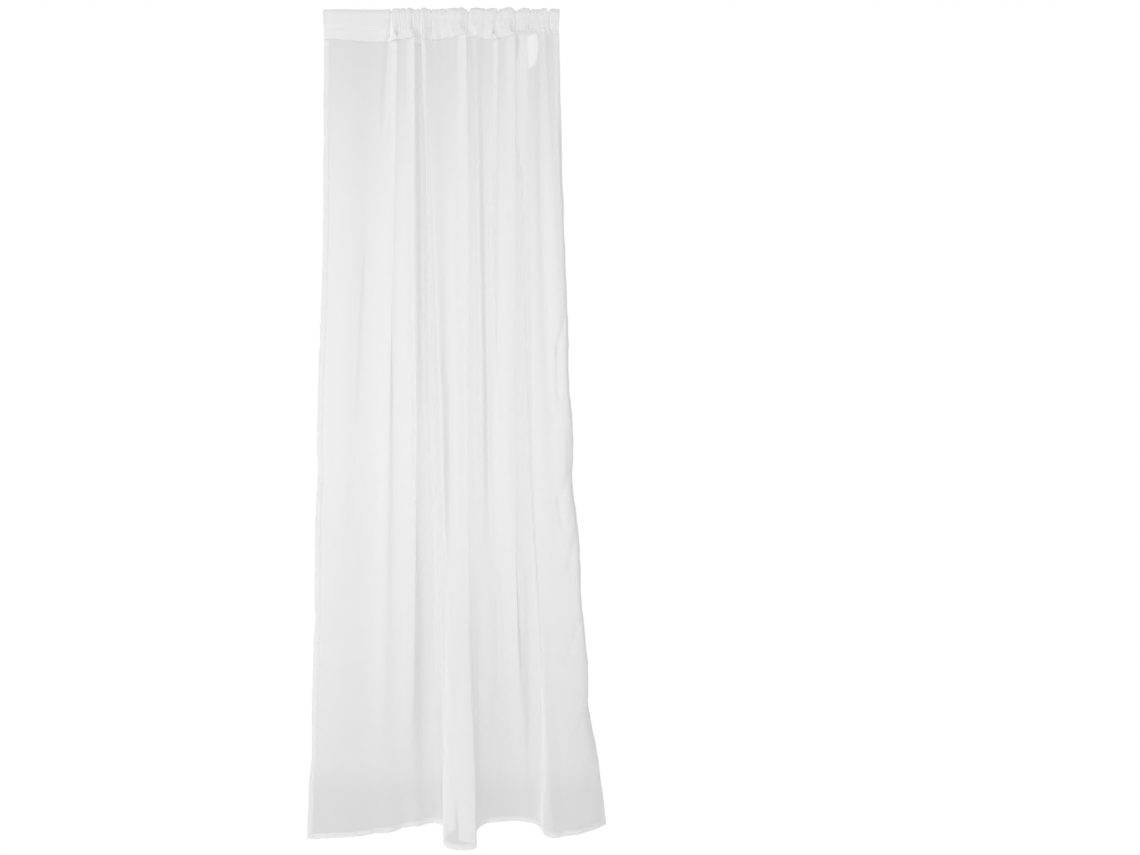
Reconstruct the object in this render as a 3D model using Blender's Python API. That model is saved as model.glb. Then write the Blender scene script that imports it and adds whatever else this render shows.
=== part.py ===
"""Sheer curtain panel with a gathered rod pocket, hanging free from its top edge.

Metres, Z up. The origin is on the top edge, midway across it; the front faces -Y.
The folds are one table, a row for each ridge, valley or turned edge from left to right.
"""
import math

import bmesh
import bpy
import numpy as np

for thing in list(bpy.data.objects):
    bpy.data.objects.remove(thing, do_unlink=True)

# Driving dimensions
MM = 0.001
DROP = 2.000
CLOTH = 1.1 * MM
HEM_CLOTH = 2.0 * MM
HEM_WIDTH = 13 * MM
ROD_ROUND = 12.5 * MM
ROD_MIDDLE = -13.1 * MM
POCKET_MEET = -47 * MM
SEAM_LEVEL = -75 * MM
BAND_TOP = -50.4 * MM
HEADING_FOOT = -50 * MM
LABEL_WIDE = 27 * MM
LABEL_THICK = 1.0 * MM
LABEL_MIDDLE = 222 * MM
LABEL_TURN = 3.0

# Heights under the top edge at which the table gives the plan of the folds
LEVELS = (-75, -501, -1046, -1601, -2000)

# name, cloth from the left edge, place on the rod, puff off the rod, seam height,
# then across and back at the seam, shoulder, waist, knee and hem, all in millimetres
FOLDS = (
    ("left edge", 0.0, -285.9, 0.0, -73, (-286, 0), (-287, -5), (-302, -10), (-309, -19), (-321, -34)),
    ("flat part", 77.2, -209, 0.0, -78, (-209, -1), (-212, -8), (-224, -12), (-234, -20), (-248, -28)),
    ("valley 1", 154.2, -128, 1.0, -73, (-131, 11), (-141, 6), (-150, 3), (-162, -1), (-173, -13)),
    ("ridge 1", 183.1, -113, 4.0, -74, (-108, -8), (-115, -10), (-127, -11), (-136, -7), (-147, -4)),
    ("valley 2", 201.6, -106, 2.0, -75, (-122, 5), (-127, 4), (-116, -1), (-119, 2), (-128, -3)),
    ("ridge 2", 259.6, -77, 4.5, -75, (-64.5, -12), (-65, -18), (-59, -15), (-67, -2), (-88, 23)),
    ("under 2", 287.2, -73, 3.0, -75, (-84, 10), (-82, 4), (-72, 7), (-57, 21), (-61, 27)),
    ("gap left", 312.1, -69, 0.0, -75, (-72, 33), (-73, 26), (-63, 28), (-42, 39), (-39, 41)),
    ("gap right", 340.2, -54, 1.5, -75, (-53, 22), (-44, 31), (-31, 27), (-14, 31), (-14, 44)),
    ("under 3", 368.6, -45, 3.5, -75, (-38, 2), (-22, 15), (-4, 14), (14, 22), (-2, 19)),
    ("pipe left", 399.0, -41, 4.0, -75, (-49, -24), (-34, -12), (-18, -13), (0, -5), (3, -11)),
    ("pipe wall", 422.1, -33, 1.0, -75, (-31, -10), (-20, -28), (-3, -31), (9, -26), (5, -34)),
    ("pipe front", 458.2, 5, 1.5, -74, (9, -3), (14, -14), (18, -10), (21, -57), (12, -70)),
    ("pipe right", 512.0, 48, 5.0, -72, (60, -21), (64, -31), (62, -39), (70, -58), (66, -81)),
    ("under 4", 556.0, 53, 4.0, -72, (40, 11), (35, 2), (40, 1), (50, -17), (78, -40)),
    ("valley 5", 594.3, 65, 0.0, -73, (65, 22), (65, 22), (70, 24), (75, 18), (86, 3)),
    ("ridge 5", 628.6, 86, 4.0, -73, (86, -7), (94, 7), (101, 11), (100, 38), (100, 34)),
    ("valley 6", 650.5, 104, 1.5, -73, (104, 5), (109, 22), (114, 28), (122, 36), (117, 46)),
    ("ridge 6", 682.7, 124, 4.5, -74, (138, -11), (132, -8), (131, 4), (145, 45), (145, 51)),
    ("valley 7", 704.8, 131, 2.5, -74, (127, 3), (124, 4), (150, -4), (163, 26), (174, 56)),
    ("ridge 7", 747.0, 165, 5.5, -74, (179, -11), (178, -20), (176, -24), (189, 11), (205, 53)),
    ("under 7", 777.3, 169, 4.0, -73, (158, 12), (161, 5), (163, 3), (204, 35), (231, 41)),
    ("valley 8", 805.9, 181, 0.0, -73, (184, 25), (185, 18), (185, 18), (233, 32), (244, 16)),
    ("under 8", 837.9, 195, 2.0, -73, (208, 7), (216, 11), (221, 12), (245, 6), (250, -13)),
    ("ridge 8", 862.2, 199, 4.5, -72, (188, -3), (197, -4), (210, -8), (243, -19), (268, -30)),
    ("round 8", 889.5, 210, 3.0, -72, (214, -12), (221, -13), (238, -15), (269, -18), (293, -23)),
    ("valley 9", 922.4, 238, 0.5, -71, (240, 5), (248, 2), (266, -6), (302, -11), (328, -14)),
    ("ridge 9", 947.3, 250, 4.0, -70, (252, -9), (268, -6), (289, -3), (328, -2), (356, 0)),
    ("valley 10", 967.3, 260, 0.5, -70, (261, 3), (283, 0), (307, 5), (346, 8), (378, 15)),
    ("turned side", 981.9, 271, 3.0, -70, (272, -4), (293, 8), (317, 14), (355, 18), (393, 26)),
    ("right edge", 997.0, 285.9, 0.5, -70, (286, 3), (300, 19), (325, 25), (361, 30), (408, 37)),
)

# Where a side edge is pulled in: side, height, half length of the pull, across, back
PULLS = (
    ("left", -1130, 60, 4, 3),
    ("left", -1475, 45, 3, -3),
    ("left", -1790, 50, 3, 4),
    ("right", -900, 70, -5, -7),
    ("right", -1160, 70, -7, 9),
    ("right", -1440, 65, -5, -8),
    ("right", -1720, 70, -7, 9),
)

ALONG = np.array([row[1] for row in FOLDS]) * MM
WIDE = ALONG[-1]
HEIGHTS = np.array(LEVELS) * MM
ROD_ACROSS = np.array([row[2] for row in FOLDS]) * MM
PUFF = np.array([row[3] for row in FOLDS]) * MM
SEAM = np.array([row[4] for row in FOLDS]) * MM
PLAN = np.array([[row[5 + k] for k in range(5)] for row in FOLDS]) * MM


def fold_weights(at):
    """Weights of the table's rows for each distance along the cloth: a natural cubic spline."""
    count = len(ALONG)
    step = np.diff(ALONG)
    left = np.eye(count)
    right = np.zeros((count, count))
    for i in range(1, count - 1):
        left[i, i - 1] = step[i - 1]
        left[i, i] = 2 * (step[i - 1] + step[i])
        left[i, i + 1] = step[i]
        right[i, i - 1] = 6 / step[i - 1]
        right[i, i] = -6 / step[i - 1] - 6 / step[i]
        right[i, i + 1] = 6 / step[i]
    bend = np.linalg.solve(left, right)
    j = np.clip(np.searchsorted(ALONG, at, side="right") - 1, 0, count - 2)
    h = step[j]
    a = (ALONG[j + 1] - at) / h
    b = (at - ALONG[j]) / h
    pick = np.eye(count)
    straight = a[:, None] * pick[j] + b[:, None] * pick[j + 1]
    curved = ((a**3 - a) * h**2 / 6)[:, None] * bend[j] + ((b**3 - b) * h**2 / 6)[:, None] * bend[j + 1]
    return straight + curved


def down_the_drop(values, z):
    """Values at the named heights carried to any height z without overshoot."""
    level = -HEIGHTS
    t = np.clip(-z, level[0], level[-1])
    h = np.diff(level)
    slope = np.diff(values, axis=-1) / h
    lean = np.zeros_like(values)
    w1 = 2 * h[1:] + h[:-1]
    w2 = h[1:] + 2 * h[:-1]
    same_way = slope[..., :-1] * slope[..., 1:] > 0
    before = np.where(same_way, slope[..., :-1], 1.0)
    after = np.where(same_way, slope[..., 1:], 1.0)
    lean[..., 1:-1] = np.where(same_way, (w1 + w2) / (w1 / before + w2 / after), 0.0)
    lean[..., 0] = slope[..., 0]
    lean[..., -1] = slope[..., -1]
    j = np.clip(np.searchsorted(level, t, side="right") - 1, 0, len(level) - 2)
    s = (t - level[j]) / h[j]
    start = 2 * s**3 - 3 * s**2 + 1
    return (values[..., j] * start + values[..., j + 1] * (1 - start)
            + lean[..., j] * h[j] * (s**3 - 2 * s**2 + s) + lean[..., j + 1] * h[j] * (s**3 - s**2))


def ease(t):
    """Smooth rise from 0 to 1."""
    t = np.clip(t, 0, 1)
    return t * t * (3 - 2 * t)


def edge_pulls(along, z):
    """How far the pulled places of the two side edges move the cloth, across and back."""
    move = np.zeros((len(along), len(z), 2))
    for side, height, half, across, back in PULLS:
        from_edge = along if side == "left" else WIDE - along
        near = np.exp(-(from_edge / (30 * MM))**2)
        reach = np.exp(-((z - height * MM) / (half * MM))**2)
        move[..., 0] += across * MM * near[:, None] * reach[None, :]
        move[..., 1] += back * MM * near[:, None] * reach[None, :]
    return move


def hanging(along, z):
    """Middle of the hanging cloth for each distance along and each height: across, back, up."""
    weights = fold_weights(along)
    across = weights @ down_the_drop(PLAN[..., 0], z)
    back = weights @ down_the_drop(PLAN[..., 1], z)
    pulled = edge_pulls(along, z)
    up = np.broadcast_to(z, across.shape)
    return np.stack([across + pulled[..., 0], back + pulled[..., 1], up], -1)


def pocket_profile():
    """Section of the pocket's middle above the meeting line: side, half depth, height, puff share."""
    reach = ROD_MIDDLE - POCKET_MEET
    lean = math.asin(ROD_ROUND / reach)
    touch_z = ROD_MIDDLE - ROD_ROUND * math.sin(lean)
    touch_y = ROD_ROUND * math.cos(lean)
    rows = []
    for part in (0.34, 0.68):
        z = POCKET_MEET + (touch_z - POCKET_MEET) * part
        rows.append((-touch_y * part, z, 0.0))
    low = -lean
    for k in range(7):
        angle = low + (math.pi - 2 * low) * k / 6
        rows.append((-ROD_ROUND * math.cos(angle), ROD_MIDDLE + ROD_ROUND * math.sin(angle), 1.0))
    for part in (0.68, 0.34):
        z = POCKET_MEET + (touch_z - POCKET_MEET) * part
        rows.append((touch_y * part, z, 0.0))
    return rows


def pocket_point(along, depth, z, puff_share):
    """Middle of the pocket's cloth: the plan of the seam below, the round of the rod above."""
    weights = fold_weights(along)
    seam_plan = weights @ PLAN[:, 0, :]
    seam_z = weights @ SEAM
    rod_x = weights @ ROD_ACROSS
    puff = np.maximum(weights @ PUFF, 0) * puff_share
    rise = (z - SEAM_LEVEL) / (POCKET_MEET - SEAM_LEVEL)
    spread = ease(rise)
    calm = ease((z - SEAM_LEVEL) / (ROD_MIDDLE - SEAM_LEVEL))
    across = seam_plan[:, 0] * (1 - spread) + rod_x * spread
    size = math.hypot(depth, z - ROD_MIDDLE)
    back = seam_plan[:, 1] * (1 - calm) + depth + puff * depth / size
    low = np.clip((POCKET_MEET - z) / (POCKET_MEET - SEAM_LEVEL), 0, 1)
    up = z + (seam_z - SEAM_LEVEL) * low + puff * (z - ROD_MIDDLE) / size
    return np.stack([across, back, up], -1)


def make_object(name, verts, faces, material):
    """A closed body from points and faces, faces out, smooth with its sharp rims kept."""
    mesh = bpy.data.meshes.new(name)
    mesh.from_pydata([tuple(float(c) for c in v) for v in verts], [], faces)
    body = bmesh.new()
    body.from_mesh(mesh)
    bmesh.ops.recalc_face_normals(body, faces=body.faces)
    if body.calc_volume(signed=True) < 0:
        bmesh.ops.reverse_faces(body, faces=body.faces)
    body.to_mesh(mesh)
    body.free()
    for polygon in mesh.polygons:
        polygon.use_smooth = True
    mesh.set_sharp_from_angle(angle=math.radians(50))
    mesh.materials.append(material)
    thing = bpy.data.objects.new(name, mesh)
    bpy.context.scene.collection.objects.link(thing)
    return thing


def cloth_material(name, colour, roughness):
    """Plain woven cloth."""
    material = bpy.data.materials.new(name)
    material.use_nodes = True
    shader = material.node_tree.nodes["Principled BSDF"]
    shader.inputs["Base Color"].default_value = (*colour, 1.0)
    shader.inputs["Roughness"].default_value = roughness
    shader.inputs["Metallic"].default_value = 0.0
    return material


def columns(shares):
    """Distances along the cloth: each span between two rows of the table cut at the shares."""
    cuts = [ALONG[i] + (ALONG[i + 1] - ALONG[i]) * s for i in range(len(ALONG) - 1) for s in shares]
    return np.array(cuts + [WIDE])


def panel(material):
    """The drop, with turned hems at both sides and the foot, up to the doubled band over the seam."""
    rim = np.array([HEM_WIDTH - 1 * MM, HEM_WIDTH + 1 * MM])
    along = np.concatenate([columns((0.0, 0.17, 0.5, 0.83)), rim, WIDE - rim])
    along = np.unique(np.round(along, 6))
    keep = np.concatenate([[True], np.diff(along) > 1.5 * MM])
    along = along[keep]
    low = -DROP + HEM_WIDTH
    band = np.array([BAND_TOP, -58 * MM, -66 * MM, SEAM_LEVEL])
    hung = np.concatenate([np.linspace(SEAM_LEVEL - 2 * MM, low + 1 * MM, 18), [low - 1 * MM, -DROP]])
    z = np.concatenate([band, hung])

    def middle(a, zz):
        grid = hanging(a, zz)
        share = np.clip((zz + DROP) / (SEAM_LEVEL + DROP), 0, 1)**6
        seam_z = fold_weights(a) @ SEAM
        grid[..., 2] += (seam_z - SEAM_LEVEL)[:, None] * share[None, :]
        over = [pocket_point(a, 0.0, level, 0.0) for level in band]
        grid[:, :len(band)] = np.stack(over, 1)
        return grid

    mid = middle(along, z)
    one = middle(np.minimum(along + 0.2 * MM, WIDE), z) - middle(np.maximum(along - 0.2 * MM, 0), z)
    two = middle(along, z + 0.2 * MM) - middle(along, z - 0.2 * MM)
    n = np.cross(one, two)
    level_n = np.stack([one[..., 1], -one[..., 0], 0 * one[..., 0]], -1)
    n[:, :len(band)] = level_n[:, :len(band)]
    n /= np.linalg.norm(n, axis=-1, keepdims=True)
    at_side = (np.minimum(along, WIDE - along) < HEM_WIDTH)[:, None]
    at_foot = (z < low)[None, :]
    thick = np.where(at_side | at_foot, HEM_CLOTH, CLOTH)
    thick[:, :len(band)] = 2 * CLOTH
    half = thick[..., None] / 2
    front = mid - n * half
    back = mid + n * half
    for side in (front, back):
        side[:, 0, 2] = mid[:, 0, 2]
        side[:, -1, 2] = mid[:, -1, 2]
    cols, rows = mid.shape[:2]
    verts = np.concatenate([front.reshape(-1, 3), back.reshape(-1, 3)])
    far = cols * rows
    faces = []
    for i in range(cols - 1):
        for j in range(rows - 1):
            a = i * rows + j
            faces.append((a, a + 1, a + rows + 1, a + rows))
            faces.append((far + a, far + a + rows, far + a + rows + 1, far + a + 1))
    for i in range(cols - 1):
        for j in (0, rows - 1):
            a = i * rows + j
            faces.append((a, a + rows, far + a + rows, far + a))
    for j in range(rows - 1):
        for i in (0, cols - 1):
            a = i * rows + j
            faces.append((a, a + 1, far + a + 1, far + a))
    return make_object("panel", verts, faces, material)


def heading(material):
    """The rod pocket: two layers that part over the doubled band, open round a straight rod."""
    along = columns((0.0, 0.33, 0.67))
    step = 0.2 * MM
    before = np.maximum(along - step, 0)
    after = np.minimum(along + step, WIDE)
    band = [HEADING_FOOT, POCKET_MEET]
    outer = []
    inner = []

    def plan_normal(z):
        run = pocket_point(after, 0.0, z, 0.0) - pocket_point(before, 0.0, z, 0.0)
        run[:, 2] = 0
        run /= np.linalg.norm(run, axis=-1, keepdims=True)
        return np.stack([-run[:, 1], run[:, 0], np.zeros(len(along))], -1)

    front_band = []
    back_band = []
    for z in band:
        mid = pocket_point(along, 0.0, z, 0.0)
        n = plan_normal(z)
        front_band.append(mid - n * CLOTH)
        back_band.append(mid + n * CLOTH)
    tip = pocket_point(along, 0.0, POCKET_MEET, 0.0)
    ring = pocket_profile()
    path = [(0.0, POCKET_MEET, 0.0)] + ring + [(0.0, POCKET_MEET, 0.0)]
    for k in range(1, len(path) - 1):
        depth, z, share = path[k]
        here = pocket_point(along, depth, z, share)
        run = pocket_point(after, depth, z, share) - pocket_point(before, depth, z, share)
        prior = pocket_point(along, *path[k - 1])
        following = pocket_point(along, *path[k + 1])
        n = np.cross(following - prior, run)
        n /= np.linalg.norm(n, axis=-1, keepdims=True)
        outer.append(here + n * CLOTH / 2)
        inner.append(here - n * CLOTH / 2)
    loops = front_band + outer + back_band[::-1]
    inside = [tip] + inner
    wide_loop = len(loops)
    wide_in = len(inside)
    count = len(along)
    verts = np.concatenate([np.concatenate(loops), np.concatenate(inside)])
    base = wide_loop * count
    faces = []
    for k in range(wide_loop):
        m = (k + 1) % wide_loop
        for i in range(count - 1):
            faces.append((k * count + i, k * count + i + 1, m * count + i + 1, m * count + i))
    for k in range(wide_in):
        m = (k + 1) % wide_in
        for i in range(count - 1):
            a = base + k * count + i
            b = base + m * count + i
            faces.append((a, b, b + 1, a + 1))
    bands = len(band)
    for i in (0, count - 1):
        for k in range(bands - 1):
            left = k * count + i
            right = (wide_loop - 1 - k) * count + i
            faces.append((left, left + count, right - count, right))
        top_front = (bands - 1) * count + i
        top_back = (wide_loop - bands) * count + i
        faces.append((top_front, base + i, top_back))
        faces.append((top_front, top_front + count, base + count + i, base + i))
        faces.append((top_back, base + i, base + (wide_in - 1) * count + i, top_back - count))
        for k in range(len(outer) - 1):
            a = (bands + k) * count + i
            b = base + (1 + k) * count + i
            faces.append((a, a + count, b + count, b))
    return make_object("heading", verts, faces, material)


# The label's path down behind the cloth: height, how far back its middle lies
LABEL_PATH = ((-54, 13.4), (-70, 16.0), (-90, 15.9), (-110, 15.6), (-131, 15.5))


def label(material):
    """A blank strip caught in the seam behind the cloth, a little turned."""
    turn = math.tan(math.radians(LABEL_TURN))
    top = LABEL_PATH[0][0] * MM
    verts = []
    for side in (-1, 1):
        for height, back in LABEL_PATH:
            z = height * MM
            drift = (top - z) * turn
            for across in (-1, 1):
                verts.append((LABEL_MIDDLE + across * LABEL_WIDE / 2 + drift, back * MM + side * LABEL_THICK / 2, z))
    rows = len(LABEL_PATH)
    far = rows * 2
    faces = []
    for j in range(rows - 1):
        a = j * 2
        faces.append((a, a + 1, a + 3, a + 2))
        faces.append((far + a, far + a + 2, far + a + 3, far + a + 1))
        faces.append((a, a + 2, far + a + 2, far + a))
        faces.append((a + 1, far + a + 1, far + a + 3, a + 3))
    for a in (0, (rows - 1) * 2):
        faces.append((a, a + 1, far + a + 1, far + a))
    return make_object("label", verts, faces, material)


voile = cloth_material("white voile", (0.86, 0.86, 0.86), 0.85)
pocket_voile = cloth_material("white voile doubled", (0.88, 0.88, 0.88), 0.85)
label_cloth = cloth_material("white label cloth", (0.92, 0.92, 0.91), 0.6)
panel(voile)
heading(pocket_voile)
label(label_cloth)
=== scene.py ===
"""Sheer white curtain panel on a gathered rod pocket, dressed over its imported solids."""

import math

import bpy
import numpy as np
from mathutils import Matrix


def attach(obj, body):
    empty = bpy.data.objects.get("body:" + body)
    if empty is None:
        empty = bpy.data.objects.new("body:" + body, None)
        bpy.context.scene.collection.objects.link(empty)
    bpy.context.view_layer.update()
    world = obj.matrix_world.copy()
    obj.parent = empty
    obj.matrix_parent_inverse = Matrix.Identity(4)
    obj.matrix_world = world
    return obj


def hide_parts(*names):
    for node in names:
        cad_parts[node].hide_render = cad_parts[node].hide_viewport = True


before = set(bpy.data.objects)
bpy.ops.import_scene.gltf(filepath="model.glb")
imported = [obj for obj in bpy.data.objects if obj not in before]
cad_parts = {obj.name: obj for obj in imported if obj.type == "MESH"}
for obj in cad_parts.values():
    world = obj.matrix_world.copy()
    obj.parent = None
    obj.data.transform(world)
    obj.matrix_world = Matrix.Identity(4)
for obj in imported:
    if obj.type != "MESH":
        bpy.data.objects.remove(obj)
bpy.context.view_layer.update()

# The panel: one width of white polyester voile, gathered at its top and hanging free.
# Its sides and foot are turned twice and sewn; the left of it hangs nearly flat, the
# rest falls in folds, and the right side turns back on itself.

MM = 0.001
DROP = 2.000
HEM_WIDTH = 13 * MM
HEM_LIP = 11 * MM
HEM_LAYER = 0.45 * MM
SEAM_LEVEL = -75 * MM

# Heights under the top edge at which the table gives the plan of the folds
LEVELS = (-75, -501, -1046, -1601, -2000)

# name, cloth from the left edge, place on the rod, puff off the rod,
# then across and back at the seam, shoulder, waist, knee and hem, all in millimetres
FOLDS = (
    ("left edge", 0.0, -285.9, 0.0, (-286, 0), (-287, -5), (-302, -10), (-309, -19), (-321, -34)),
    ("flat part", 77.2, -209, 0.0, (-209, -1), (-212, -8), (-224, -12), (-234, -20), (-248, -28)),
    ("valley 1", 154.2, -128, 1.0, (-131, 11), (-141, 6), (-150, 3), (-162, -1), (-173, -13)),
    ("ridge 1", 183.1, -113, 4.0, (-108, -8), (-115, -10), (-127, -11), (-136, -7), (-147, -4)),
    ("valley 2", 201.6, -106, 2.0, (-122, 5), (-127, 4), (-116, -1), (-119, 2), (-128, -3)),
    ("ridge 2", 259.6, -77, 4.5, (-64.5, -12), (-65, -18), (-59, -15), (-67, -2), (-88, 23)),
    ("under 2", 287.2, -73, 3.0, (-84, 10), (-82, 4), (-72, 7), (-57, 21), (-61, 27)),
    ("gap left", 312.1, -69, 0.0, (-72, 33), (-73, 26), (-63, 28), (-42, 39), (-39, 41)),
    ("gap right", 340.2, -54, 1.5, (-53, 22), (-44, 31), (-31, 27), (-14, 31), (-14, 44)),
    ("under 3", 368.6, -45, 3.5, (-38, 2), (-22, 15), (-4, 14), (14, 22), (-2, 19)),
    ("pipe left", 399.0, -41, 4.0, (-49, -24), (-34, -12), (-18, -13), (0, -5), (3, -11)),
    ("pipe wall", 422.1, -33, 1.0, (-31, -10), (-20, -28), (-3, -31), (9, -26), (5, -34)),
    ("pipe front", 458.2, 5, 1.5, (9, -3), (14, -14), (18, -10), (21, -57), (12, -70)),
    ("pipe right", 512.0, 48, 5.0, (60, -21), (64, -31), (62, -39), (70, -58), (66, -81)),
    ("under 4", 556.0, 53, 4.0, (40, 11), (35, 2), (40, 1), (50, -17), (78, -40)),
    ("valley 5", 594.3, 65, 0.0, (65, 22), (65, 22), (70, 24), (75, 18), (86, 3)),
    ("ridge 5", 628.6, 86, 4.0, (86, -7), (94, 7), (101, 11), (100, 38), (100, 34)),
    ("valley 6", 650.5, 104, 1.5, (104, 5), (109, 22), (114, 28), (122, 36), (117, 46)),
    ("ridge 6", 682.7, 124, 4.5, (138, -11), (132, -8), (131, 4), (145, 45), (145, 51)),
    ("valley 7", 704.8, 131, 2.5, (127, 3), (124, 4), (150, -4), (163, 26), (174, 56)),
    ("ridge 7", 747.0, 165, 5.5, (179, -11), (178, -20), (176, -24), (189, 11), (205, 53)),
    ("under 7", 777.3, 169, 4.0, (158, 12), (161, 5), (163, 3), (204, 35), (231, 41)),
    ("valley 8", 805.9, 181, 0.0, (184, 25), (185, 18), (185, 18), (233, 32), (244, 16)),
    ("under 8", 837.9, 195, 2.0, (208, 7), (216, 11), (221, 12), (245, 6), (250, -13)),
    ("ridge 8", 862.2, 199, 4.5, (188, -3), (197, -4), (210, -8), (243, -19), (268, -30)),
    ("round 8", 889.5, 210, 3.0, (214, -12), (221, -13), (238, -15), (269, -18), (293, -23)),
    ("valley 9", 922.4, 238, 0.5, (240, 5), (248, 2), (266, -6), (302, -11), (328, -14)),
    ("ridge 9", 947.3, 250, 4.0, (252, -9), (268, -6), (289, -3), (328, -2), (356, 0)),
    ("valley 10", 967.3, 260, 0.5, (261, 3), (283, 0), (307, 5), (346, 8), (378, 15)),
    ("turned side", 981.9, 271, 3.0, (272, -4), (293, 8), (317, 14), (355, 18), (393, 26)),
    ("right edge", 997.0, 285.9, 0.5, (286, 3), (300, 19), (325, 25), (361, 30), (408, 37)),
)

# Where a side edge is pulled in by its hem: side, height, half length, across, back
PULLS = (
    ("left", -1130, 60, 4, 3),
    ("left", -1475, 45, 3, -3),
    ("left", -1790, 50, 3, 4),
    ("right", -900, 70, -5, -7),
    ("right", -1160, 70, -7, 9),
    ("right", -1440, 65, -5, -8),
    ("right", -1720, 70, -7, 9),
)

# Soft creases that run across the folds: from across and height to across and height,
# half width on the left, half width on the right, how far forward (a valley is negative)
CREASES = (
    ("valley under the heading", -126, 40, -147, -330, 5.5, 8, -9.0),
    ("gap turned away", -56.5, 200, -38, -1150, 15, 6, -13.0),
    ("gap turned away low", -42, -900, -16, -1750, 22, 8, -12.0),
    ("pipe face", 10, -850, 14, -1400, 10, 10, 7.0),
    ("behind ridge 7", 198, -1300, 206, -1900, 12, 12, 12.0),
    ("gap left side", -66, 200, -60, -1150, 6, 9, 7.0),
    ("left valley", -180, -500, -207, -1060, 6, 24, -4.5),
    ("left valley foot", -203, -1010, -226, -1300, 10, 28, -3.0),
    ("flat part low", -262, -1250, -300, -1620, 14, 34, 3.5),
    ("right of the label", 269, -50, 278, -280, 4, 6, -4.0),
    ("right drag 1", 306, -720, 278, -850, 6, 8, -6.0),
    ("right drag 1 strip", 283, -790, 284, -970, 7, 9, -7.0),
    ("right drag 2", 316, -930, 262, -1005, 7, 9, -6.0),
    ("right edge hollow", 316, -1000, 312, -1140, 9, 9, -5.0),
    ("right drag 3", 326, -1090, 281, -1210, 7, 10, -7.0),
    ("right drag 3 foot", 281, -1170, 296, -1270, 6, 9, -5.0),
    ("right drag 4", 338, -1250, 304, -1380, 9, 12, -7.0),
    ("right drag 5", 352, -1460, 292, -1590, 7, 10, -7.0),
    ("right drag 6", 376, -1670, 312, -1780, 8, 11, -7.0),
    ("right drag foot", 392, -1790, 350, -1900, 9, 12, -6.0),
    ("low right line", 246, -1450, 252, -1960, 5, 9, 4.0),
)

# Folds that lean aside: cloth from the left edge, half width, how far across,
# then the heights where it begins, is full, begins to end and has ended
LEANS = (
    ("pipe left neck", 372, 17, 34, -1500, -1850, -2100, -2200),
    ("pipe right edge", 520, 22, 12, -1500, -1850, -2100, -2200),
    ("pipe right neck", 562, 17, -36, -1500, -1850, -2100, -2200),
    ("ridge 8 over ridge 7", 862, 12, -14, -110, -160, -300, -420),
)

# How the pocket's seam runs up and down: cloth from the left edge, height
SEAM_LINE = (
    (0, -73), (77, -78), (154, -74), (183, -76), (202, -76), (260, -68), (287, -72),
    (312, -77), (340, -77), (369, -72), (399, -70), (422, -77), (458, -72), (500, -60),
    (556, -60), (594, -62), (629, -66), (651, -72), (683, -73), (705, -73), (747, -64),
    (777, -64), (806, -66), (838, -58), (862, -58), (890, -54), (922, -53), (947, -54),
    (967, -56), (997, -60),
)
# The stitching holds the folds shallower at the seam than the table's hanging folds
SEAM_DEPTH = 0.55

# The gathers begin and are full at these distances from the left edge
GATHERS_BEGIN = 120 * MM
GATHERS_FULL = 180 * MM

# Puckers under the seam: pitch, how far down they fade, their share, their seed
PUCKERS = ((9, 45, 1.0, 3), (21, 160, 0.8, 5))
PUCKER_HIGH = 1.5 * MM

# Ripples of the hems: how high, pitch, seed; and how far in from the edge they reach
SIDE_RIPPLES_BACK = ((1.2, 26, 11), (1.6, 47, 12))
SIDE_RIPPLES_ACROSS = ((0.9, 29, 13),)
FOOT_RIPPLES_BACK = ((0.9, 13, 15),)
FOOT_RIPPLES_UP = ((0.8, 23, 16),)
SIDE_RIPPLE_REACH = 11 * MM
FOOT_RIPPLE_REACH = 12 * MM
SIDE_PULL_REACH = 30 * MM

# Share of a crease's length over which it comes and goes
CREASE_ENDS = 0.25

ALONG = np.array([row[1] for row in FOLDS]) * MM
WIDE = ALONG[-1]
HEIGHTS = np.array(LEVELS) * MM
ROD_ACROSS = np.array([row[2] for row in FOLDS]) * MM
PUFF = np.array([row[3] for row in FOLDS]) * MM
SEAM = np.interp(ALONG, *np.array(SEAM_LINE).T * MM)
PLAN = np.array([row[4:] for row in FOLDS]) * MM
PLAN[:, 0, 1] *= SEAM_DEPTH


def fold_weights(at):
    """Weights of the table's rows for each distance along the cloth: a natural cubic spline."""
    count = len(ALONG)
    step = np.diff(ALONG)
    left = np.eye(count)
    right = np.zeros((count, count))
    inner = np.arange(1, count - 1)
    left[inner, inner - 1] = step[:-1]
    left[inner, inner] = 2 * (step[:-1] + step[1:])
    left[inner, inner + 1] = step[1:]
    right[inner, inner - 1] = 6 / step[:-1]
    right[inner, inner] = -6 / step[:-1] - 6 / step[1:]
    right[inner, inner + 1] = 6 / step[1:]
    bend = np.linalg.solve(left, right)
    j = np.clip(np.searchsorted(ALONG, at, side="right") - 1, 0, count - 2)
    h = step[j]
    a = (ALONG[j + 1] - at) / h
    b = (at - ALONG[j]) / h
    pick = np.eye(count)
    straight = a[:, None] * pick[j] + b[:, None] * pick[j + 1]
    bend_a = ((a**3 - a) * h**2 / 6)[:, None] * bend[j]
    bend_b = ((b**3 - b) * h**2 / 6)[:, None] * bend[j + 1]
    return straight + bend_a + bend_b


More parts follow.
